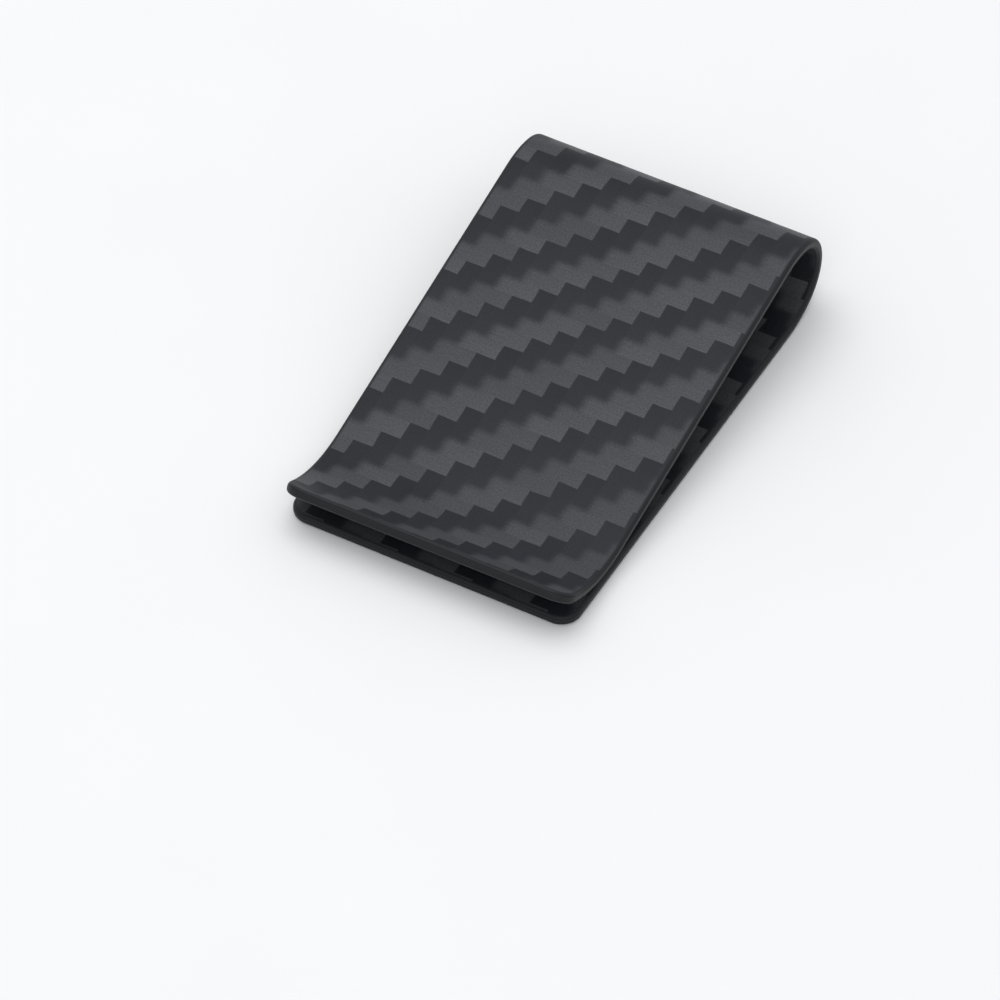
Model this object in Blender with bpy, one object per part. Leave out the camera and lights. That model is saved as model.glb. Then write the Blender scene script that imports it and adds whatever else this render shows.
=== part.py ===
"""A sprung money clip, moulded from one flat strip of woven laminate.

The strip is laid up flat from plies, then bent round a bow into a back leaf and a front leaf.
The bow is a tight nose between two gentle shoulders. The front leaf comes down to a line
where it grips, and ends in a lip that curls up.
Every solid is made the same way: a flat blank with rounded corners and edges is sliced into
plies by depth and into regions by length, and each slice is then bent to its place.

Blank axes: X across the strip, Y along it from the back leaf's tip to the lip's tip, and
Z from the skin that faces out to the skin that faces the notes.
World axes: X across, +Y towards the bow, +Z up, with the back leaf flat on Z = 0.
"""

import math

import bmesh
import bpy
from mathutils import Vector

# Driving dimensions, in metres.
WIDTH = 0.038
THICKNESS = 0.0013
NOSE_OUTER_RADIUS = 0.0060
SHOULDER_OUTER_RADIUS = 0.0108
SHOULDER_ANGLE = math.radians(29.0)
FRONT_LEAF_LENGTH = 0.0424
LIP_BEND_RADIUS = 0.0148
LIP_ANGLE = math.radians(36.3)
LIP_STRAIGHT = 0.0013
BACK_LEAF_SETBACK = 0.0010
GRIP_GAP = 0.0003
CORNER_RADIUS = 0.0026
EDGE_ROUNDING = 0.0005

# The lay-up. A line of resin parts the plies, and closes the butt joints along the strip.
FACE_PLY = 0.00025
RESIN_LINE = 0.00003

# The two halves of the bow turn against each other, and this slit is the room they need.
FLEX_SLIT = 0.0007

# How finely the round shapes are divided.
BEND_STEP = 0.00035
CORNER_SEGMENTS = 10
EDGE_SEGMENTS = 4
CENTROID_SAMPLES = 400

# Radii of the strip's middle surface.
HALF_THICKNESS = THICKNESS / 2
NOSE_RADIUS = NOSE_OUTER_RADIUS - HALF_THICKNESS
SHOULDER_RADIUS = SHOULDER_OUTER_RADIUS - HALF_THICKNESS
LIP_RADIUS = LIP_BEND_RADIUS + HALF_THICKNESS


def front_leaf_slope():
    """The slope that brings the front leaf down to the grip gap, found by iteration."""
    slope = 0.0
    for _ in range(40):
        nose_end = SHOULDER_ANGLE - slope
        bow_height = (
            SHOULDER_RADIUS * (1 - math.cos(SHOULDER_ANGLE))
            + NOSE_RADIUS * (math.cos(SHOULDER_ANGLE) + math.cos(nose_end))
            + SHOULDER_RADIUS * (math.cos(slope) - math.cos(nose_end))
        )
        lip_drop = LIP_RADIUS * (1 - math.cos(slope))
        fall = bow_height - lip_drop - THICKNESS - GRIP_GAP
        slope = math.asin(fall / FRONT_LEAF_LENGTH)
    return slope


SLOPE = front_leaf_slope()
NOSE_TURN = math.pi + SLOPE - 2 * SHOULDER_ANGLE
LIP_TURN = SLOPE + LIP_ANGLE
SHOULDER_LENGTH = SHOULDER_RADIUS * SHOULDER_ANGLE
NOSE_LENGTH = NOSE_RADIUS * NOSE_TURN

# Distances along Y from the back leaf's end to the back of the bow and to the lip's tip.
BOW_DEPTH = (
    SHOULDER_RADIUS * math.sin(SHOULDER_ANGLE)
    + NOSE_RADIUS * (1 - math.sin(SHOULDER_ANGLE))
    + HALF_THICKNESS
)
FRONT_BOW_REACH = (
    NOSE_RADIUS * (1 - math.sin(SHOULDER_ANGLE - SLOPE))
    + SHOULDER_RADIUS * (math.sin(SHOULDER_ANGLE - SLOPE) + math.sin(SLOPE))
    + HALF_THICKNESS
)
LIP_REACH = (
    FRONT_BOW_REACH - BOW_DEPTH
    + FRONT_LEAF_LENGTH * math.cos(SLOPE)
    + LIP_RADIUS * (math.sin(SLOPE) + math.sin(LIP_ANGLE))
    + LIP_STRAIGHT * math.cos(LIP_ANGLE)
)
BACK_LEAF_LENGTH = LIP_REACH - BACK_LEAF_SETBACK

# The lip's rounded end face reaches a little further than the middle of its tip.
TIP_OVERHANG = (
    EDGE_ROUNDING * (1 - math.cos(LIP_ANGLE))
    + (HALF_THICKNESS - EDGE_ROUNDING) * math.sin(LIP_ANGLE)
)

# The place of the back leaf's end, which centres the whole clip on Y = 0.
BACK_LEAF_END_Y = (LIP_REACH + TIP_OVERHANG - BOW_DEPTH) / 2

# Stations along the blank.
BOW_START = BACK_LEAF_LENGTH
NOSE_START = BOW_START + SHOULDER_LENGTH
BOW_MIDDLE = NOSE_START + NOSE_LENGTH / 2
NOSE_END = NOSE_START + NOSE_LENGTH
BOW_END = NOSE_END + SHOULDER_LENGTH
LIP_START = BOW_END + FRONT_LEAF_LENGTH
LIP_BEND_END = LIP_START + LIP_RADIUS * LIP_TURN
BLANK_LENGTH = LIP_BEND_END + LIP_STRAIGHT

# Where each stretch of the strip ends, and how sharply it bends.
STRETCHES = (
    (BOW_START, 0.0),
    (NOSE_START, 1 / SHOULDER_RADIUS),
    (NOSE_END, 1 / NOSE_RADIUS),
    (BOW_END, 1 / SHOULDER_RADIUS),
    (LIP_START, 0.0),
    (LIP_BEND_END, -1 / LIP_RADIUS),
    (BLANK_LENGTH, 0.0),
)

# Depth of each layer, from the skin that faces out.
LAYERS = {
    "outer_ply": (0.0, FACE_PLY),
    "core": (FACE_PLY + RESIN_LINE, THICKNESS - FACE_PLY - RESIN_LINE),
    "inner_ply": (THICKNESS - FACE_PLY, THICKNESS),
}

# Stretch of the blank that each region takes. Outer ends run past the blank.
SPARE = 0.001
JOINT = RESIN_LINE / 2
REGIONS = {
    "back_leaf": (-SPARE, BOW_START - JOINT),
    "back_bow": (BOW_START + JOINT, BOW_MIDDLE - FLEX_SLIT / 2),
    "front_bow": (BOW_MIDDLE + FLEX_SLIT / 2, BOW_END - JOINT),
    "front_leaf": (BOW_END + JOINT, LIP_START - JOINT),
    "lip": (LIP_START + JOINT, BLANK_LENGTH + SPARE),
}
BENT_REGIONS = ("back_bow", "front_bow", "lip")
FRONT_REGIONS = ("front_bow", "front_leaf", "lip")


def clear_scene():
    for obj in list(bpy.data.objects):
        bpy.data.objects.remove(obj, do_unlink=True)


def laminate_material(name, colour, roughness):
    material = bpy.data.materials.new(name)
    material.use_nodes = True
    shader = material.node_tree.nodes["Principled BSDF"]
    shader.inputs["Base Color"].default_value = (*colour, 1.0)
    shader.inputs["Roughness"].default_value = roughness
    shader.inputs["Metallic"].default_value = 0.0
    return material


def flat_blank():
    """The uncut strip: a plate with rounded corners, whose rim is rounded on both skins."""
    mesh = bmesh.new()
    corners = []
    for x, y in ((-1, 0), (1, 0), (1, 1), (-1, 1)):
        corners.append(mesh.verts.new((x * WIDTH / 2, y * BLANK_LENGTH, 0.0)))
    mesh.faces.new(corners)
    bmesh.ops.bevel(
        mesh,
        geom=mesh.verts[:],
        offset=CORNER_RADIUS,
        segments=CORNER_SEGMENTS,
        profile=0.5,
        affect="VERTICES",
    )
    made = bmesh.ops.extrude_face_region(mesh, geom=mesh.faces[:])
    raised = [item for item in made["geom"] if isinstance(item, bmesh.types.BMVert)]
    bmesh.ops.translate(mesh, verts=raised, vec=(0.0, 0.0, THICKNESS))
    bmesh.ops.recalc_face_normals(mesh, faces=mesh.faces[:])
    rim = [edge for edge in mesh.edges if edge.verts[0].co.z == edge.verts[1].co.z]
    bmesh.ops.bevel(
        mesh,
        geom=rim,
        offset=EDGE_ROUNDING,
        segments=EDGE_SEGMENTS,
        profile=0.5,
        affect="EDGES",
    )
    return mesh


def cut(mesh, point, normal):
    """Cuts away the side that the normal points to, and closes the cut with a face."""
    whole = mesh.verts[:] + mesh.edges[:] + mesh.faces[:]
    made = bmesh.ops.bisect_plane(
        mesh, geom=whole, plane_co=point, plane_no=normal, clear_outer=True
    )
    rim = [item for item in made["geom_cut"] if isinstance(item, bmesh.types.BMEdge)]
    if rim:
        bmesh.ops.edgeloop_fill(mesh, edges=rim)


def score(mesh, start, end):
    """Divides the faces across the strip, so that they can follow a bend."""
    steps = math.ceil((end - start) / BEND_STEP)
    for index in range(1, steps):
        station = start + (end - start) * index / steps
        whole = mesh.verts[:] + mesh.edges[:] + mesh.faces[:]
        bmesh.ops.bisect_plane(
            mesh, geom=whole, plane_co=(0.0, station, 0.0), plane_no=(0.0, 1.0, 0.0)
        )


def bent_place(station, depth):
    """Where a point of the blank lies, in Y and Z, once the strip is bent."""
    heading = 0.0
    middle = Vector((BACK_LEAF_END_Y - BACK_LEAF_LENGTH, HALF_THICKNESS))
    begun = 0.0
    for stop, curvature in STRETCHES:
        run = min(station, stop) - begun
        if run <= 0:
            break
        turn = run * curvature
        chord = run if turn == 0 else 2 / curvature * math.sin(turn / 2)
        along = heading + turn / 2
        middle += chord * Vector((math.cos(along), math.sin(along)))
        heading += turn
        begun = stop
    towards_notes = Vector((-math.sin(heading), math.cos(heading)))
    return middle + (depth - HALF_THICKNESS) * towards_notes


def bow_centroid():
    """The mean place of the bow's centre line, which an evenly bending bow turns about."""
    total = Vector((0.0, 0.0))
    for index in range(CENTROID_SAMPLES):
        station = BOW_START + (BOW_END - BOW_START) * (index + 0.5) / CENTROID_SAMPLES
        total += bent_place(station, HALF_THICKNESS)
    y, z = total / CENTROID_SAMPLES
    return Vector((0.0, y, z))


def bend(mesh):
    for vertex in mesh.verts:
        y, z = bent_place(max(vertex.co.y, 0.0), vertex.co.z)
        vertex.co = (vertex.co.x, y, z)


def build_piece(region, layer, material, hinge):
    start, end = REGIONS[region]
    shallow, deep = LAYERS[layer]
    mesh = flat_blank()
    if shallow > 0:
        cut(mesh, (0.0, 0.0, shallow), (0.0, 0.0, -1.0))
    if deep < THICKNESS:
        cut(mesh, (0.0, 0.0, deep), (0.0, 0.0, 1.0))
    cut(mesh, (0.0, start, 0.0), (0.0, -1.0, 0.0))
    cut(mesh, (0.0, end, 0.0), (0.0, 1.0, 0.0))
    if region in BENT_REGIONS:
        score(mesh, max(start, 0.0), min(end, BLANK_LENGTH))
    bmesh.ops.recalc_face_normals(mesh, faces=mesh.faces[:])
    bend(mesh)
    data = bpy.data.meshes.new(f"{region}_{layer}")
    if region in FRONT_REGIONS:
        bmesh.ops.translate(mesh, verts=mesh.verts[:], vec=-hinge.location)
    mesh.to_mesh(data)
    mesh.free()
    data.materials.append(material)
    data.shade_smooth()
    data.set_sharp_from_angle(angle=math.radians(35))
    piece = bpy.data.objects.new(f"{region}_{layer}", data)
    bpy.context.scene.collection.objects.link(piece)
    if region in FRONT_REGIONS:
        piece.parent = hinge
    return piece


def main():
    clear_scene()
    materials = {
        "outer_ply": laminate_material("twill_outer", (0.066, 0.067, 0.072), 0.55),
        "core": laminate_material("core_plies", (0.022, 0.022, 0.024), 0.60),
        "inner_ply": laminate_material("twill_inner", (0.060, 0.061, 0.066), 0.60),
    }
    hinge = bpy.data.objects.new("bow_flex_axis", None)
    hinge.empty_display_size = NOSE_OUTER_RADIUS
    hinge.location = bow_centroid()
    bpy.context.scene.collection.objects.link(hinge)
    for region in REGIONS:
        for layer in LAYERS:
            build_piece(region, layer, materials[layer], hinge)


main()
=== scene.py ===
"""The looks of a sprung money clip: a strip of twill-woven laminate, bent into a clip.

The strip is made as it is laid up: an outer cloth, a core of stacked plies and an inner cloth.
Each layer comes in three pieces: the back leaf, the bow, and the front leaf with its lip.
The bow lies between the two bodies, and the leaves ride on them.

A place on the strip is given by x across it, a station along it from the back leaf's tip to
the lip's tip, and a depth below the skin that faces out. All lengths are in metres.
"""

import math

import bpy
import numpy as np
from mathutils import Matrix, Vector


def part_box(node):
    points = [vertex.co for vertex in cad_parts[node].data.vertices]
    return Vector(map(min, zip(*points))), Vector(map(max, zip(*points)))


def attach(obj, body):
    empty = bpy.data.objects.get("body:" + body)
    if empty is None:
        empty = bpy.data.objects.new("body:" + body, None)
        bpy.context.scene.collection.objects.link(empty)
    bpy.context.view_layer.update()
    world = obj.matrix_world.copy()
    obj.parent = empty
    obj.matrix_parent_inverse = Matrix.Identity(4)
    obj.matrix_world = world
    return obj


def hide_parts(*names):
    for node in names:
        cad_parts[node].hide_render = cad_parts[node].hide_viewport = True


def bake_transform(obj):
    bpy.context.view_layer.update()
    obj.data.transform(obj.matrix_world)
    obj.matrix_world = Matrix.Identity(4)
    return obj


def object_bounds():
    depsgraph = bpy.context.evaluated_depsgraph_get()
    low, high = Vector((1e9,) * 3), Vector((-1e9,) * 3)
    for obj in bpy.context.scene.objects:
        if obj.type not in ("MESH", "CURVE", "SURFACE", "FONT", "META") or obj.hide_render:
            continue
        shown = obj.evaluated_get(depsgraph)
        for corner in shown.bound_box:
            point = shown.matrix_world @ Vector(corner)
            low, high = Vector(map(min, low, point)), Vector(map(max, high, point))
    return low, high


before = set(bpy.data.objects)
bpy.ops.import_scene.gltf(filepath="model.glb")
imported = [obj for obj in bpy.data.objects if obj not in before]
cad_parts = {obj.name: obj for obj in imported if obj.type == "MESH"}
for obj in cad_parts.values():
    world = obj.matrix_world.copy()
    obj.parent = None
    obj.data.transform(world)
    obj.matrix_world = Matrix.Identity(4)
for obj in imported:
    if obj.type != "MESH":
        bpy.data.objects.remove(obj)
cad_low, cad_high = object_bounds()

# The strip's section, and the shape that it is bent to. Radii are of its middle surface.
WIDTH = cad_high[0] - cad_low[0]
THICKNESS = 0.0013
HALF_THICKNESS = THICKNESS / 2
NOSE_RADIUS = 0.0060 - HALF_THICKNESS
SHOULDER_RADIUS = 0.0108 - HALF_THICKNESS
SHOULDER_ANGLE = math.radians(29.0)
FRONT_LEAF_LENGTH = 0.0424
LIP_RADIUS = 0.0148 + HALF_THICKNESS
LIP_ANGLE = math.radians(36.3)
LIP_STRAIGHT = 0.0013
GRIP_GAP = 0.0003
CORNER_RADIUS = 0.0026
EDGE_ROUNDING = 0.0005
FACE_PLY = 0.00025
RESIN_LINE = 0.00003

# The twill: the width of a tow, where the pattern lies on the strip, and how far a tow's
# crown stands above the dips between tows.
TOW_ACROSS = 0.00249
TOW_ALONG = 0.00230
COLUMN_EDGE_X = -0.01668
ROW_EDGE_STATION = 0.11339
REPEAT = 4
CROWN = 0.000016

# The rows of tows sway along the strip, where the cloth stretched as it was laid up.
SWAY = 0.00043
SWAY_SPAN = 0.045
SWAY_START = 0.0915

# Where the cloth meets the edge, the weave gives way to plain resin between these insets.
MARGIN_START = 0.00030
MARGIN_END = 0.00065

# How finely the pieces are divided.
COLUMN_STEP = 0.00046
ROW_STEP = 0.00045
BOW_ROW_STEP = 0.00030
CORNER_STEPS = 16
ROUNDING_STEPS = 6
CORE_COLUMNS = 24

# Faces that meet at a sharper angle than this have a sharp edge between them.
SHARP_ANGLE = math.radians(40)

# The bow piece takes this much of each leaf, so that it starts and ends flat.
BOW_OVERLAP = 0.0010

# How many times the front leaf's slope is worked out again.
SLOPE_ROUNDS = 40


def front_leaf_slope():
    """The slope that brings the front leaf down to the grip gap, found by iteration."""
    slope = 0.0
    for _ in range(SLOPE_ROUNDS):
        nose_end = SHOULDER_ANGLE - slope
        bow_height = (
            SHOULDER_RADIUS * (1 - math.cos(SHOULDER_ANGLE))
            + NOSE_RADIUS * (math.cos(SHOULDER_ANGLE) + math.cos(nose_end))
            + SHOULDER_RADIUS * (math.cos(slope) - math.cos(nose_end))
        )
        lip_drop = LIP_RADIUS * (1 - math.cos(slope))
        fall = bow_height - lip_drop - THICKNESS - GRIP_GAP
        slope = math.asin(fall / FRONT_LEAF_LENGTH)
    return slope


SLOPE = front_leaf_slope()
NOSE_LENGTH = NOSE_RADIUS * (math.pi + SLOPE - 2 * SHOULDER_ANGLE)
SHOULDER_LENGTH = SHOULDER_RADIUS * SHOULDER_ANGLE
LIP_LENGTH = LIP_RADIUS * (SLOPE + LIP_ANGLE)

# The back leaf starts at its tip, which the frame gives, and ends where the bow starts.
BACK_TIP_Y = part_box("back_leaf_core")[0].y
BOW_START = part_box("back_leaf_core")[1].y + RESIN_LINE / 2 - BACK_TIP_Y
NOSE_START = BOW_START + SHOULDER_LENGTH
NOSE_END = NOSE_START + NOSE_LENGTH
BOW_END = NOSE_END + SHOULDER_LENGTH
LIP_START = BOW_END + FRONT_LEAF_LENGTH
LIP_BEND_END = LIP_START + LIP_LENGTH
STRIP_LENGTH = LIP_BEND_END + LIP_STRAIGHT

# Where each stretch of the strip ends, and how sharply it bends.
STRETCHES = (
    (BOW_START, 0.0),
    (NOSE_START, 1 / SHOULDER_RADIUS),
    (NOSE_END, 1 / NOSE_RADIUS),
    (BOW_END, 1 / SHOULDER_RADIUS),
    (LIP_START, 0.0),
    (LIP_BEND_END, -1 / LIP_RADIUS),
    (STRIP_LENGTH, 0.0),
)

# The stations where the three pieces of each layer meet.
BACK_SEAM = BOW_START - BOW_OVERLAP
FRONT_SEAM = BOW_END + BOW_OVERLAP


def bent_places(x, station, depth):
    """World places of points on the strip, given as arrays."""
    heading = np.zeros_like(station)
    y = np.full_like(station, BACK_TIP_Y)
    z = np.full_like(station, HALF_THICKNESS)
    begun = 0.0
    for stop, curvature in STRETCHES:
        run = np.clip(station, begun, stop) - begun
        turn = run * curvature
        chord = run * np.sinc(turn / (2 * math.pi))
        y = y + chord * np.cos(heading + turn / 2)
        z = z + chord * np.sin(heading + turn / 2)
        heading = heading + turn
        begun = stop
    inward = depth - HALF_THICKNESS
    return np.stack([x, y - inward * np.sin(heading), z + inward * np.cos(heading)], axis=-1)


def smooth_ramp(value, start, end):
    share = np.clip((value - start) / (end - start), 0.0, 1.0)
    return share * share * (3 - 2 * share)


def edge_inset(x, station):
    """How far a point lies inside the strip's rounded outline."""
    past_x = np.abs(x) - (WIDTH / 2 - CORNER_RADIUS)
    past_y = np.abs(station - STRIP_LENGTH / 2) - (STRIP_LENGTH / 2 - CORNER_RADIUS)
    outside = np.hypot(np.maximum(past_x, 0.0), np.maximum(past_y, 0.0))
    return CORNER_RADIUS - outside - np.minimum(np.maximum(past_x, past_y), 0.0)


def weave_dip(x, station):
    """How deep the cloth's surface lies below its crowns: tows dip where they cross."""
    across = (x - COLUMN_EDGE_X) / TOW_ACROSS
    swayed = station + SWAY * np.sin((station - SWAY_START) * 2 * math.pi / SWAY_SPAN)
    along = (ROW_EDGE_STATION - swayed) / TOW_ALONG
    row = np.floor(along)
    float_place = np.mod(across - row + 2, REPEAT)
    over = float_place < 2
    weft_crown = np.sin(math.pi * float_place / 2) * (1 - (2 * (along - row) - 1) ** 2)
    column = np.floor(across)
    warp_place = np.clip(np.mod(along - column + 1, REPEAT), 0, 2)
    warp_crown = np.sin(math.pi * warp_place / 2) * (1 - (2 * (across - column) - 1) ** 2)
    crown = np.where(over, weft_crown, warp_crown)
    plain = smooth_ramp(edge_inset(x, station), MARGIN_START, MARGIN_END)
    return CROWN * (1 - np.clip(crown, 0.0, 1.0)) * plain


def strip_rows():
    """The rows of points across the strip: each has a centre station, and a turn round a
    corner from the straight side (0) to the end edge (90 degrees) with the end's sign."""
    rows = []
    for step in range(CORNER_STEPS):
        rows.append((CORNER_RADIUS, math.pi / 2 * (1 - step / CORNER_STEPS), -1))
    stops = (
        (CORNER_RADIUS, BACK_SEAM, ROW_STEP),
        (BACK_SEAM, FRONT_SEAM, BOW_ROW_STEP),
        (FRONT_SEAM, STRIP_LENGTH - CORNER_RADIUS, ROW_STEP),
    )
    for start, end, step in stops:
        count = math.ceil((end - start) / step)
        for index in range(count):
            rows.append((start + (end - start) * index / count, 0.0, 1))
    for step in range(CORNER_STEPS + 1):
        rows.append((STRIP_LENGTH - CORNER_RADIUS, math.pi / 2 * step / CORNER_STEPS, 1))
    return np.array(rows)


def seam_row(rows, station):
    return int(np.argmin(np.abs(rows[:, 0] - station) + np.abs(rows[:, 1])))


def rounding_levels(edge, direction, first, last):
    """Depths and insets round one of the strip's edges, between two angles. The edge is the
    depth where the rounding starts, and the direction is the way it goes from there."""
    levels = []
    for step in range(ROUNDING_STEPS + 1):
        angle = first + (last - first) * step / ROUNDING_STEPS
        depth = edge + direction * EDGE_ROUNDING * math.sin(angle)
        levels.append((depth, EDGE_ROUNDING * (1 - math.cos(angle))))
    return levels


def rim_levels(shallow, deep):
    """Depths down a layer's rim with the inset of each, where the strip's edges are round."""
    levels = []
    flat_start = EDGE_ROUNDING
    flat_end = THICKNESS - EDGE_ROUNDING
    if shallow < flat_start:
        first = math.asin((flat_start - shallow) / EDGE_ROUNDING)
        last = math.asin(max(flat_start - deep, 0.0) / EDGE_ROUNDING)
        levels += rounding_levels(flat_start, -1, first, last)
    if deep > flat_end:
        first = math.asin(max(shallow - flat_end, 0.0) / EDGE_ROUNDING)
        last = math.asin((deep - flat_end) / EDGE_ROUNDING)
        levels += rounding_levels(flat_end, 1, first, last)
    return levels


class Layer:
    """One layer of the whole strip, as points and faces that are then cut into pieces."""

    def __init__(self, rows, columns, shallow, deep, woven_depth):
        self.rows = rows
        self.columns = columns
        self.woven_depth = woven_depth
        self.levels = rim_levels(shallow, deep)
        self.x = []
        self.station = []
        self.depth = []
        self.faces = []
        self.face_rows = []
        self.make_points()
        self.make_faces()

    def outline(self, inset):
        """Half width and station of every row, on the outline drawn in by the inset."""
        centre, turn, sign = self.rows.T
        radius = CORNER_RADIUS - inset
        half = WIDTH / 2 - CORNER_RADIUS + radius * np.cos(turn)
        return half, centre + sign * radius * np.sin(turn)

    def add_points(self, x, station, depth):
        first = len(self.x)
        self.x.extend(x)
        self.station.extend(station)
        self.depth.extend(depth)
        return np.arange(first, first + len(x))

    def make_points(self):
        count = len(self.rows)
        share = np.linspace(-1.0, 1.0, self.columns + 1)
        self.skins = []
        for level in (self.levels[0], self.levels[-1]):
            depth, inset = level
            half, station = self.outline(inset)
            x = np.outer(half, share).ravel()
            s = np.repeat(station, self.columns + 1)
            d = np.full_like(x, depth)
            if depth == self.woven_depth:
                dip = weave_dip(x, s)
                d = d + (dip if depth < HALF_THICKNESS else -dip)
            self.skins.append(self.add_points(x, s, d).reshape(count, -1))
        top, bottom = self.skins

        # A ring is the left, right, back and front edge of one level.
        self.rings = [(top[:, 0], top[:, -1], top[0], top[-1])]
        for depth, inset in self.levels[1:-1]:
            half, station = self.outline(inset)
            left = self.add_points(-half, station, np.full(count, depth))
            right = self.add_points(half, station, np.full(count, depth))
            ends = []
            for row in (0, -1):
                inner = half[row] * share[1:-1]
                level_station = np.full_like(inner, station[row])
                made = self.add_points(inner, level_station, np.full_like(inner, depth))
                ends.append(np.concatenate([[left[row]], made, [right[row]]]))
            self.rings.append((left, right, ends[0], ends[1]))
        self.rings.append((bottom[:, 0], bottom[:, -1], bottom[0], bottom[-1]))

    def add_faces(self, a, b, c, d, rows):
        self.faces.append(np.stack([a, b, c, d], axis=-1).reshape(-1, 4))
        self.face_rows.append(np.broadcast_to(rows, a.shape).ravel())

    def make_faces(self):
        top, bottom = self.skins
        last = len(self.rows) - 2
        steps = np.arange(last + 1)
        self.add_faces(top[:-1, :-1], top[1:, :-1], top[1:, 1:], top[:-1, 1:], steps[:, None])
        self.add_faces(
            bottom[:-1, :-1], bottom[:-1, 1:], bottom[1:, 1:], bottom[1:, :-1], steps[:, None]
        )
        for upper, lower in zip(self.rings, self.rings[1:]):
            self.add_faces(upper[0][:-1], lower[0][:-1], lower[0][1:], upper[0][1:], steps)
            self.add_faces(upper[1][:-1], upper[1][1:], lower[1][1:], lower[1][:-1], steps)
            self.add_faces(upper[2][:-1], upper[2][1:], lower[2][1:], lower[2][:-1], 0)
            self.add_faces(upper[3][:-1], lower[3][:-1], lower[3][1:], upper[3][1:], last)
        self.faces = np.concatenate(self.faces)
        self.face_rows = np.concatenate(self.face_rows)
        self.x = np.array(self.x)
        self.station = np.array(self.station)
        self.depth = np.array(self.depth)
        self.places = bent_places(self.x, self.station, self.depth)
        self.normals = smooth_normals(self.places, self.faces)

    def seam_caps(self, row, forward):
        """The faces that close a piece where it is cut: quads, and one face for each rim."""
        top, bottom = self.skins
        caps = []
        for index in range(self.columns):
            upper = [top[row, index], top[row, index + 1]]
            caps.append(upper + [bottom[row, index + 1], bottom[row, index]])
        left = [ring[0][row] for ring in self.rings]
        right = [ring[1][row] for ring in self.rings]
        if len(left) > 2:
            caps.append(left[::-1])
            caps.append(right)
        if forward:
            caps = [cap[::-1] for cap in caps]
        return caps


def smooth_normals(places, faces):
    """The normal of each face's corner, smooth over the whole layer apart from sharp edges."""
    mesh = bpy.data.meshes.new("whole_layer")
    mesh.from_pydata(places.tolist(), [], faces.tolist())
    mesh.shade_smooth()
    mesh.set_sharp_from_angle(angle=SHARP_ANGLE)
    normals = np.empty(len(mesh.loops) * 3, dtype=np.float32)
    mesh.corner_normals.foreach_get("vector", normals)
    bpy.data.meshes.remove(mesh)
    return normals.reshape(-1, 4, 3)


def cut_piece(name, layer, first_row, last_row, material):
    """The part of a layer between two rows, as a closed mesh."""
    chosen = (layer.face_rows >= first_row) & (layer.face_rows < last_row)
    faces = layer.faces[chosen].tolist()
    normals = layer.normals[chosen].reshape(-1, 3).tolist()
    caps = []
    if first_row > 0:
        caps += layer.seam_caps(first_row, False)
    if last_row < len(layer.rows) - 1:
        caps += layer.seam_caps(last_row, True)
    used = sorted({int(point) for face in faces + caps for point in face})
    renumber = {point: index for index, point in enumerate(used)}
    mesh = bpy.data.meshes.new(name)
    outlines = [[renumber[int(point)] for point in face] for face in faces + caps]
    mesh.from_pydata(layer.places[used].tolist(), [], outlines)
    mesh.update()
    corners = np.empty(len(mesh.loops), dtype=np.int32)
    mesh.loops.foreach_get("vertex_index", corners)
    points = np.array(used)[corners]

    # The shaders read a point's place on the strip, and its inset and depth.
    weave = mesh.uv_layers.new(name="weave")
    weave.data.foreach_set("uv", np.stack([layer.x[points], layer.station[points]], axis=-1).ravel())
    rim = mesh.uv_layers.new(name="rim")
    inset = edge_inset(layer.x[points], layer.station[points])
    rim.data.foreach_set("uv", np.stack([inset, layer.depth[points]], axis=-1).ravel())

    # The caps keep their flat normals.
    mesh.shade_smooth()
    for polygon in list(mesh.polygons)[len(faces):]:
        normals += [tuple(polygon.normal)] * polygon.loop_total
    mesh.normals_split_custom_set(normals)
    mesh.materials.append(material)
    piece = bpy.data.objects.new(name, mesh)
    bpy.context.scene.collection.objects.link(piece)
    return piece


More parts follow.
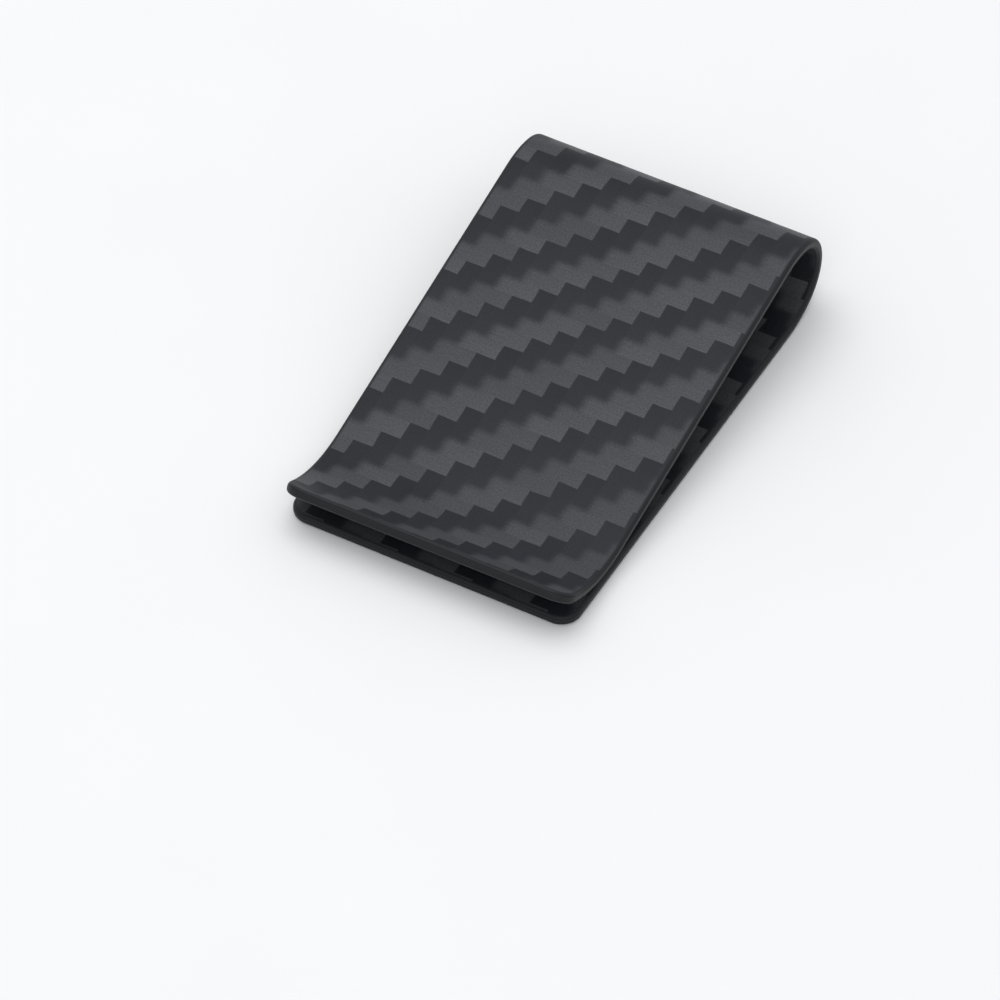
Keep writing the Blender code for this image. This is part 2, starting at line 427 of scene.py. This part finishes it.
class Shader:
    """A Principled material whose inputs are built from node expressions."""

    def __init__(self, name, **values):
        self.material = bpy.data.materials.new(name)
        self.material.use_nodes = True
        self.tree = self.material.node_tree
        self.surface = self.tree.nodes["Principled BSDF"]
        for label, value in values.items():
            self.surface.inputs[label.replace("_", " ")].default_value = value

    def node(self, kind, inputs=(), **settings):
        made = self.tree.nodes.new(kind)
        for key, value in settings.items():
            setattr(made, key, value)
        for key, value in dict(inputs).items():
            self.feed(made.inputs[key], value)
        return made

    def feed(self, socket, value):
        if isinstance(value, bpy.types.NodeSocket):
            self.tree.links.new(value, socket)
        else:
            socket.default_value = value

    def math(self, operation, first, second=0.0, third=0.0):
        made = self.node("ShaderNodeMath", operation=operation)
        for socket, value in zip(made.inputs, (first, second, third)):
            self.feed(socket, value)
        return made.outputs[0]

    def ramp(self, value, start, end, low=0.0, high=1.0):
        made = self.node(
            "ShaderNodeMapRange",
            {"Value": value, "From Min": start, "From Max": end, "To Min": low, "To Max": high},
            interpolation_type="SMOOTHSTEP",
        )
        return made.outputs["Result"]

    def uv(self, name):
        found = self.node("ShaderNodeUVMap", uv_map=name)
        parts = self.node("ShaderNodeSeparateXYZ", {"Vector": found.outputs["UV"]})
        return parts.outputs["X"], parts.outputs["Y"]

    def vector(self, x, y, z=0.0):
        return self.node("ShaderNodeCombineXYZ", {"X": x, "Y": y, "Z": z}).outputs["Vector"]

    def noise(self, x, y, detail, seed=0.0):
        """Smooth noise from 0 to 1 over the given coordinates."""
        made = self.node(
            "ShaderNodeTexNoise",
            {"Vector": self.vector(x, y, seed), "Scale": 1.0, "Detail": detail, "Roughness": 0.5},
            noise_dimensions="3D",
        )
        return made.outputs[0]

    def random(self, x, y):
        """One random value from 0 to 1 for each whole x and y."""
        made = self.node("ShaderNodeTexWhiteNoise", {"Vector": self.vector(x, y)}, noise_dimensions="3D")
        return made.outputs["Value"]

    def scaled(self, value, factor):
        return self.math("MULTIPLY", value, factor)

    def product(self, first, *others):
        for other in others:
            first = self.math("MULTIPLY", first, other)
        return first

    def left_over(self, value):
        """What is missing from 1."""
        return self.math("SUBTRACT", 1.0, value)

    def centred(self, value):
        """A value from 0 to 1, moved to lie about 0."""
        return self.math("SUBTRACT", value, 0.5)

    def spread(self, value, amount):
        """A factor that varies about 1 by the amount, as the value goes from 0 to 1."""
        return self.math("MULTIPLY_ADD", value, amount, 1 - amount / 2)

    def wrapped(self, value, lead):
        """A value repeated with the weave, from minus the lead up."""
        ahead = self.math("ADD", value, lead)
        return self.math("SUBTRACT", self.math("FLOORED_MODULO", ahead, float(REPEAT)), lead)

    def shared(self, share, first, second):
        """The first value by its share, and the second by what is left."""
        rest = self.product(second, self.left_over(share))
        return self.math("ADD", self.product(first, share), rest)

    def toned(self, colour, level):
        """A colour made lighter or darker by a factor."""
        made = self.node("ShaderNodeVectorMath", {0: colour, 3: level}, operation="SCALE")
        return made.outputs[0]

    def mix_colour(self, share, first, second):
        made = self.node("ShaderNodeMix", data_type="RGBA")
        for index, value in ((0, share), (6, first), (7, second)):
            self.feed(made.inputs[index], value)
        return made.outputs[2]

    def bump(self, height, distance, strength):
        made = self.node(
            "ShaderNodeBump", {"Height": height, "Distance": distance, "Strength": strength}
        )
        self.feed(self.surface.inputs["Normal"], made.outputs["Normal"])


# Colours of the cloth, in linear light: weft floats catch the light, warp floats don't.
# The weft floats' lighter colour is painted sheen.
WEFT_SHEEN_COLOUR = (0.0545, 0.0555, 0.0615, 1.0)
WARP_COLOUR = (0.0150, 0.0160, 0.0205, 1.0)
MARGIN_COLOUR = (0.0150, 0.0160, 0.0190, 1.0)
CORE_COLOUR = (0.0110, 0.0115, 0.0135, 1.0)
PLY_LINE_COLOUR = (0.0450, 0.0465, 0.0510, 1.0)

# How deep the fibres and the grain stand in the matte resin, and how fine the grain is.
GRAIN_DEPTH = 0.000020
GRAIN_SIZE = 1 / 4200
EDGE_GRAIN_SIZE = 1 / 12000

# How much of a clear resin's reflection the matte finish keeps: 0.5 would be all of it.
SHEEN = 0.22
RESIN_IOR = 1.5
ROUGHNESS = 0.5

# How rough the cloth and the edge are where the grain is lowest, how much the grain adds,
# and how much the weft floats add.
CLOTH_ROUGHNESS = 0.47
CLOTH_ROUGHNESS_GAIN = 0.10
WEFT_ROUGHNESS_GAIN = -0.05
EDGE_ROUGHNESS = 0.42
EDGE_ROUGHNESS_GAIN = 0.16

# How strongly the relief of the cloth and of the edge shows, from 0 to 1.
CLOTH_RELIEF = 0.8
EDGE_RELIEF = 0.5

# Tows wander by this share of a tow's width, over this many tows.
WANDER = 0.07
WANDER_SPAN = 1.6

# A weft float spans two tows. It comes up softly and dives sharply between these places
# along it, and its top side fades this far each way. All are in tows. The lead is how far
# before its start a float is followed.
# The soft sides are painted shade, where the weft's painted sheen fades as the tow turns under.
RISE_START = -0.26
RISE_END = 0.36
FALL_START = 1.96
FALL_END = 2.03
TOP_SOFTNESS = 0.26
FLOAT_LEAD = 1.4

# How many fibres' streaks a tow has across it, and how fast they change along it. The
# streaks fray the floats' soft sides by this much of a tow.
STREAKS = 26.0
STREAK_CHANGE = 0.7
FRAY = 0.45

# How much the tone varies: from float to float, with the streaks, and with the grain of
# the cloth and of the edge.
FLOAT_SPREAD = 0.24
STREAK_SPREAD = 0.50
GRAIN_SPREAD = 1.30
EDGE_GRAIN_SPREAD = 0.40

# How the painted shade runs along a weft float, up its height and along a warp float, per tow.
WEFT_SHADE_GAIN = 0.06
HEIGHT_SHADE_SPREAD = -0.10
WARP_SHADE_GAIN = -0.15

# How many finer layers each noise has.
DRIFT_DETAIL = 1.0
EDGE_DETAIL = 2.0
CLOTH_DETAIL = 3.0

# The seeds that keep the noises apart.
DRIFT_X_SEED = 3.0
DRIFT_Y_SEED = 9.0
WEFT_SEED = 1.0
WARP_SEED = 5.0
GRAIN_SEED = 7.0
EDGE_GRAIN_SEED = 4.0

# The plies in the edge: the thickness of one, and how far and how fast its lines waver.
PLY = 0.00016
PLY_WAVER = 0.8
PLY_WAVER_SIZE = 1 / 400

# A line comes up between these distances from a ply's middle, to this strength. The
# distances are in plies.
PLY_LINE_START = 0.36
PLY_LINE_END = 0.50
PLY_LINE_STRENGTH = 0.45


class Weave:
    """Where a shaded point lies in the twill. Places are counted in tows."""

    def __init__(self, shader):
        x, station = shader.uv("weave")
        across = shader.scaled(shader.math("SUBTRACT", x, COLUMN_EDGE_X), 1 / TOW_ACROSS)
        turn = shader.scaled(shader.math("SUBTRACT", station, SWAY_START), 2 * math.pi / SWAY_SPAN)
        swayed = shader.math("MULTIPLY_ADD", shader.math("SINE", turn), SWAY, station)
        along = shader.scaled(shader.math("SUBTRACT", ROW_EDGE_STATION, swayed), 1 / TOW_ALONG)

        # Both sets of tows wander a little.
        near_x = shader.scaled(across, 1 / WANDER_SPAN)
        near_y = shader.scaled(along, 1 / WANDER_SPAN)
        drift_x = shader.centred(shader.noise(near_x, near_y, DRIFT_DETAIL, DRIFT_X_SEED))
        drift_y = shader.centred(shader.noise(near_x, near_y, DRIFT_DETAIL, DRIFT_Y_SEED))
        self.across = shader.math("MULTIPLY_ADD", drift_x, 2 * WANDER, across)
        self.along = shader.math("MULTIPLY_ADD", drift_y, 2 * WANDER, along)

        # A row of weft, and the place along its float from the float's left end.
        self.row = shader.math("FLOOR", self.along)
        self.height = shader.math("SUBTRACT", self.along, self.row)
        weft_count = shader.math("ADD", shader.math("SUBTRACT", self.across, self.row), 2.0)
        self.weft_place = shader.wrapped(weft_count, FLOAT_LEAD)
        self.weft_number = self.float_number(shader, weft_count)

        # A column of warp, and the place along its float from the float's lower end.
        self.column = shader.math("FLOOR", self.across)
        warp_count = shader.math("ADD", shader.math("SUBTRACT", self.along, self.column), 1.0)
        self.warp_place = shader.wrapped(warp_count, FLOAT_LEAD)
        self.warp_number = self.float_number(shader, warp_count)

        # Streaks run along the fibres of each tow, and grain covers everything.
        self.weft_streak = shader.noise(
            shader.scaled(self.across, STREAK_CHANGE),
            shader.scaled(self.along, STREAKS),
            CLOTH_DETAIL,
            WEFT_SEED,
        )
        self.warp_streak = shader.noise(
            shader.scaled(self.across, STREAKS),
            shader.scaled(self.along, STREAK_CHANGE),
            CLOTH_DETAIL,
            WARP_SEED,
        )
        fine_x = shader.scaled(x, 1 / GRAIN_SIZE)
        fine_y = shader.scaled(station, 1 / GRAIN_SIZE)
        self.grain = shader.noise(fine_x, fine_y, CLOTH_DETAIL, GRAIN_SEED)

    def float_number(self, shader, count):
        """One number for each float in a row or a column."""
        ahead = shader.math("ADD", count, FLOAT_LEAD)
        return shader.math("FLOOR", shader.scaled(ahead, 1 / REPEAT))


def weft_share(shader, weave):
    """1 on the weft floats, 0 on the warp floats, and between them on the soft sides, where the painted
    sheen fades into painted shade.
    """
    place = weave.weft_place
    frayed_place = shader.math("MULTIPLY_ADD", shader.centred(weave.weft_streak), FRAY, place)
    frayed_height = shader.math("MULTIPLY_ADD", shader.centred(weave.warp_streak), FRAY, weave.height)

    # The top side is soft where a warp tow lies above it, and the lower side is sharp.
    rise = shader.ramp(frayed_place, RISE_START, RISE_END)
    fall = shader.ramp(place, FALL_START, FALL_END, 1.0, 0.0)
    under_warp = shader.ramp(place, 1 + RISE_START, 1 + RISE_END, 1.0, 0.0)
    top_fade = shader.ramp(frayed_height, 1 - TOP_SOFTNESS, 1 + TOP_SOFTNESS)
    top = shader.left_over(shader.product(top_fade, under_warp))
    own = shader.product(rise, fall, top)

    # The soft top side of the float in the row below runs on into this row.
    rise_below = shader.ramp(frayed_place, RISE_START - 1, RISE_END - 1)
    fall_below = shader.ramp(place, FALL_START - 1, FALL_END - 1, 1.0, 0.0)
    fade_below = shader.ramp(frayed_height, -TOP_SOFTNESS, TOP_SOFTNESS, 1.0, 0.0)
    below = shader.product(rise_below, fall_below, fade_below)
    return shader.left_over(shader.product(shader.left_over(own), shader.left_over(below)))


def tow_tone_and_shade(shader, weave, weft):
    """How light the cloth is at a point, about 1: tone that differs from float to float and with the
    streaks and grain, and painted shade along each float.
    """
    weft_level = shader.product(
        shader.spread(shader.random(weave.weft_number, weave.row), FLOAT_SPREAD),
        shader.spread(weave.weft_streak, STREAK_SPREAD),
        shader.math("MULTIPLY_ADD", weave.weft_place, WEFT_SHADE_GAIN, 1 - WEFT_SHADE_GAIN),
        shader.spread(weave.height, HEIGHT_SHADE_SPREAD),
    )
    warp_level = shader.product(
        shader.spread(shader.random(weave.column, weave.warp_number), FLOAT_SPREAD),
        shader.spread(weave.warp_streak, STREAK_SPREAD),
        shader.math("MULTIPLY_ADD", weave.warp_place, WARP_SHADE_GAIN, 1 - WARP_SHADE_GAIN),
    )
    level = shader.shared(weft, weft_level, warp_level)
    return shader.product(level, shader.spread(weave.grain, GRAIN_SPREAD))


def resin_shader(name):
    """A shader for matte resin, whose colour and roughness are fed afterwards."""
    return Shader(name, Roughness=ROUGHNESS, IOR=RESIN_IOR, Metallic=0.0, Specular_IOR_Level=SHEEN)


def cloth_material(name):
    """Carbon-fibre twill under matte resin, with painted sheen on the weft floats and painted shade
    along each float.
    """
    shader = resin_shader(name)
    weave = Weave(shader)
    weft = weft_share(shader, weave)
    # The weft floats get their painted sheen, and every float its painted shade.
    cloth = shader.mix_colour(weft, WARP_COLOUR, WEFT_SHEEN_COLOUR)
    cloth = shader.toned(cloth, tow_tone_and_shade(shader, weave, weft))

    # Towards the edge the cloth gives way to plain resin.
    inset, _ = shader.uv("rim")
    cover = shader.ramp(inset, MARGIN_START, MARGIN_END)
    shader.feed(shader.surface.inputs["Base Color"], shader.mix_colour(cover, MARGIN_COLOUR, cloth))
    roughness = shader.math("MULTIPLY_ADD", weave.grain, CLOTH_ROUGHNESS_GAIN, CLOTH_ROUGHNESS)
    roughness = shader.math("MULTIPLY_ADD", weft, WEFT_ROUGHNESS_GAIN, roughness)
    shader.feed(shader.surface.inputs["Roughness"], roughness)
    streak = shader.shared(weft, weave.weft_streak, weave.warp_streak)
    fine = shader.shared(0.5, streak, weave.grain)
    shader.bump(shader.product(fine, cover), GRAIN_DEPTH, CLOTH_RELIEF)
    return shader.material


def core_material():
    """The cut and sealed edge of the stacked plies."""
    shader = resin_shader("stacked_plies")
    x, station = shader.uv("weave")
    _, depth = shader.uv("rim")
    waver_x = shader.scaled(x, 1 / PLY_WAVER_SIZE)
    waver = shader.noise(waver_x, shader.scaled(station, 1 / PLY_WAVER_SIZE), EDGE_DETAIL)
    plies = shader.math("MULTIPLY_ADD", waver, PLY_WAVER, shader.scaled(depth, 1 / PLY))
    stripe = shader.math("ABSOLUTE", shader.centred(shader.math("FRACT", plies)))
    line = shader.ramp(stripe, PLY_LINE_START, PLY_LINE_END, 0.0, PLY_LINE_STRENGTH)
    fine_x = shader.scaled(x, 1 / EDGE_GRAIN_SIZE)
    fine_y = shader.scaled(station, 1 / EDGE_GRAIN_SIZE)
    grain = shader.noise(fine_x, fine_y, EDGE_DETAIL, EDGE_GRAIN_SEED)
    colour = shader.mix_colour(line, CORE_COLOUR, PLY_LINE_COLOUR)
    colour = shader.toned(colour, shader.spread(grain, EDGE_GRAIN_SPREAD))
    shader.feed(shader.surface.inputs["Base Color"], colour)
    roughness = shader.math("MULTIPLY_ADD", grain, EDGE_ROUGHNESS_GAIN, EDGE_ROUGHNESS)
    shader.feed(shader.surface.inputs["Roughness"], roughness)
    shader.bump(shader.math("SUBTRACT", grain, line), GRAIN_DEPTH / 2, EDGE_RELIEF)
    return shader.material


def make_layer(layer_name, node_ending, layer, material):
    """Cuts a layer into its three pieces and fixes them to the frame."""
    back_row = seam_row(layer.rows, BACK_SEAM)
    front_row = seam_row(layer.rows, FRONT_SEAM)
    last_row = len(layer.rows) - 1
    back_leaf = cut_piece(f"back_leaf_{layer_name}", layer, 0, back_row, material)
    bow = cut_piece(f"bow_{layer_name}", layer, back_row, front_row, material)
    front_leaf = cut_piece(f"front_leaf_and_lip_{layer_name}", layer, front_row, last_row, material)
    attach(back_leaf, "back")
    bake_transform(bow)
    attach(front_leaf, "front")
    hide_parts(f"back_leaf_{node_ending}")
    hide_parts(f"back_bow_{node_ending}", f"front_bow_{node_ending}")
    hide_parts(f"front_leaf_{node_ending}", f"lip_{node_ending}")


def make_clip():
    rows = strip_rows()
    cloth_columns = math.ceil(WIDTH / COLUMN_STEP)
    outer = Layer(rows, cloth_columns, 0.0, FACE_PLY, 0.0)
    core = Layer(rows, CORE_COLUMNS, FACE_PLY + RESIN_LINE, THICKNESS - FACE_PLY - RESIN_LINE, None)
    inner = Layer(rows, cloth_columns, THICKNESS - FACE_PLY, THICKNESS, THICKNESS)
    make_layer("outer_cloth", "outer_ply", outer, cloth_material("outer_twill_cloth"))
    make_layer("core_plies", "core", core, core_material())
    make_layer("inner_cloth", "inner_ply", inner, cloth_material("inner_twill_cloth"))


# The studio: the floor's half size, its two pale tones, its grain per metre, and the light
# from all round.
FLOOR_HALF = 3.0
FLOOR_COLOUR = (0.91, 0.91, 0.91, 1.0)
FLOOR_SHADE = (0.89, 0.89, 0.89, 1.0)
FLOOR_GRAIN = 40.0
FLOOR_ROUGHNESS = 0.8
WORLD_COLOUR = (0.90, 0.91, 0.93, 1.0)
WORLD_STRENGTH = 0.75

# Each softbox: its name, its place, its width and its power in watts.
SOFTBOXES = (
    ("overhead_softbox", (-0.15, 0.10, 0.75), 0.70, 2.2),
    ("front_softbox", (0.25, -0.60, 0.55), 0.50, 0.9),
)


def make_floor():
    shader = Shader("pale_floor", Roughness=FLOOR_ROUGHNESS)
    place = shader.node("ShaderNodeTexCoord").outputs["Object"]
    grain = shader.node("ShaderNodeTexNoise", {"Vector": place, "Scale": FLOOR_GRAIN})
    pale = shader.mix_colour(grain.outputs[0], FLOOR_COLOUR, FLOOR_SHADE)
    shader.feed(shader.surface.inputs["Base Color"], pale)
    mesh = bpy.data.meshes.new("studio_floor")
    corners = [(-FLOOR_HALF, -FLOOR_HALF, 0), (FLOOR_HALF, -FLOOR_HALF, 0)]
    corners += [(FLOOR_HALF, FLOOR_HALF, 0), (-FLOOR_HALF, FLOOR_HALF, 0)]
    mesh.from_pydata(corners, [], [(0, 1, 2, 3)])
    mesh.materials.append(shader.material)
    floor = bpy.data.objects.new("studio_floor", mesh)
    floor.location.z = cad_low[2] - RESIN_LINE
    bpy.context.scene.collection.objects.link(floor)


def aim(obj, place, target):
    obj.location = place
    obj.rotation_euler = (Vector(target) - Vector(place)).to_track_quat("-Z", "Y").to_euler()


def make_light(name, place, size, power):
    light = bpy.data.lights.new(name, "AREA")
    light.shape = "DISK"
    light.size = size
    light.energy = power
    lamp = bpy.data.objects.new(name, light)
    aim(lamp, place, (0.0, 0.0, 0.0))
    bpy.context.scene.collection.objects.link(lamp)


def make_lights():
    world = bpy.data.worlds.new("studio")
    world.use_nodes = True
    background = world.node_tree.nodes["Background"]
    background.inputs["Color"].default_value = WORLD_COLOUR
    background.inputs["Strength"].default_value = WORLD_STRENGTH
    bpy.context.scene.world = world
    for name, place, size, power in SOFTBOXES:
        make_light(name, place, size, power)
    bpy.context.scene.view_settings.view_transform = "Standard"


# The camera: the direction that it looks from, how far back it stands from the anchor,
# where the anchor lies off the line of sight, and how wide the picture is there.
CAMERA_AZIMUTH = math.radians(28.43)
CAMERA_ELEVATION = math.radians(45.98)
CAMERA_ROLL = math.radians(-0.47)
CAMERA_DISTANCE = 0.9682
CAMERA_ANCHOR = Vector((0.0, 0.022780, 0.011900))
ANCHOR_RIGHT = 0.017514
ANCHOR_UP = 0.033535
FRAME_AT_ANCHOR = 0.11932
SENSOR_MM = 36.0
CLIP_NEAR = 0.05
CLIP_FAR = 20.0


def make_camera():
    """The anchor, the front end of the bow, lies right of and above the line of sight."""
    sin_a, cos_a = math.sin(CAMERA_AZIMUTH), math.cos(CAMERA_AZIMUTH)
    sin_e, cos_e = math.sin(CAMERA_ELEVATION), math.cos(CAMERA_ELEVATION)
    level_right = Vector((cos_a, sin_a, 0.0))
    back = Vector((sin_a * cos_e, -cos_a * cos_e, sin_e))
    level_up = back.cross(level_right)
    right = level_right * math.cos(CAMERA_ROLL) - level_up * math.sin(CAMERA_ROLL)
    up = level_right * math.sin(CAMERA_ROLL) + level_up * math.cos(CAMERA_ROLL)
    data = bpy.data.cameras.new("camera")
    data.sensor_width = SENSOR_MM
    data.lens = SENSOR_MM * CAMERA_DISTANCE / FRAME_AT_ANCHOR
    data.clip_start = CLIP_NEAR
    data.clip_end = CLIP_FAR
    camera = bpy.data.objects.new("camera", data)
    place = CAMERA_ANCHOR - right * ANCHOR_RIGHT - up * ANCHOR_UP + back * CAMERA_DISTANCE
    camera.matrix_world = Matrix.Translation(place) @ Matrix((right, up, back)).transposed().to_4x4()
    bpy.context.scene.collection.objects.link(camera)
    bpy.context.scene.camera = camera


make_camera()
make_clip()
make_floor()
make_lights()
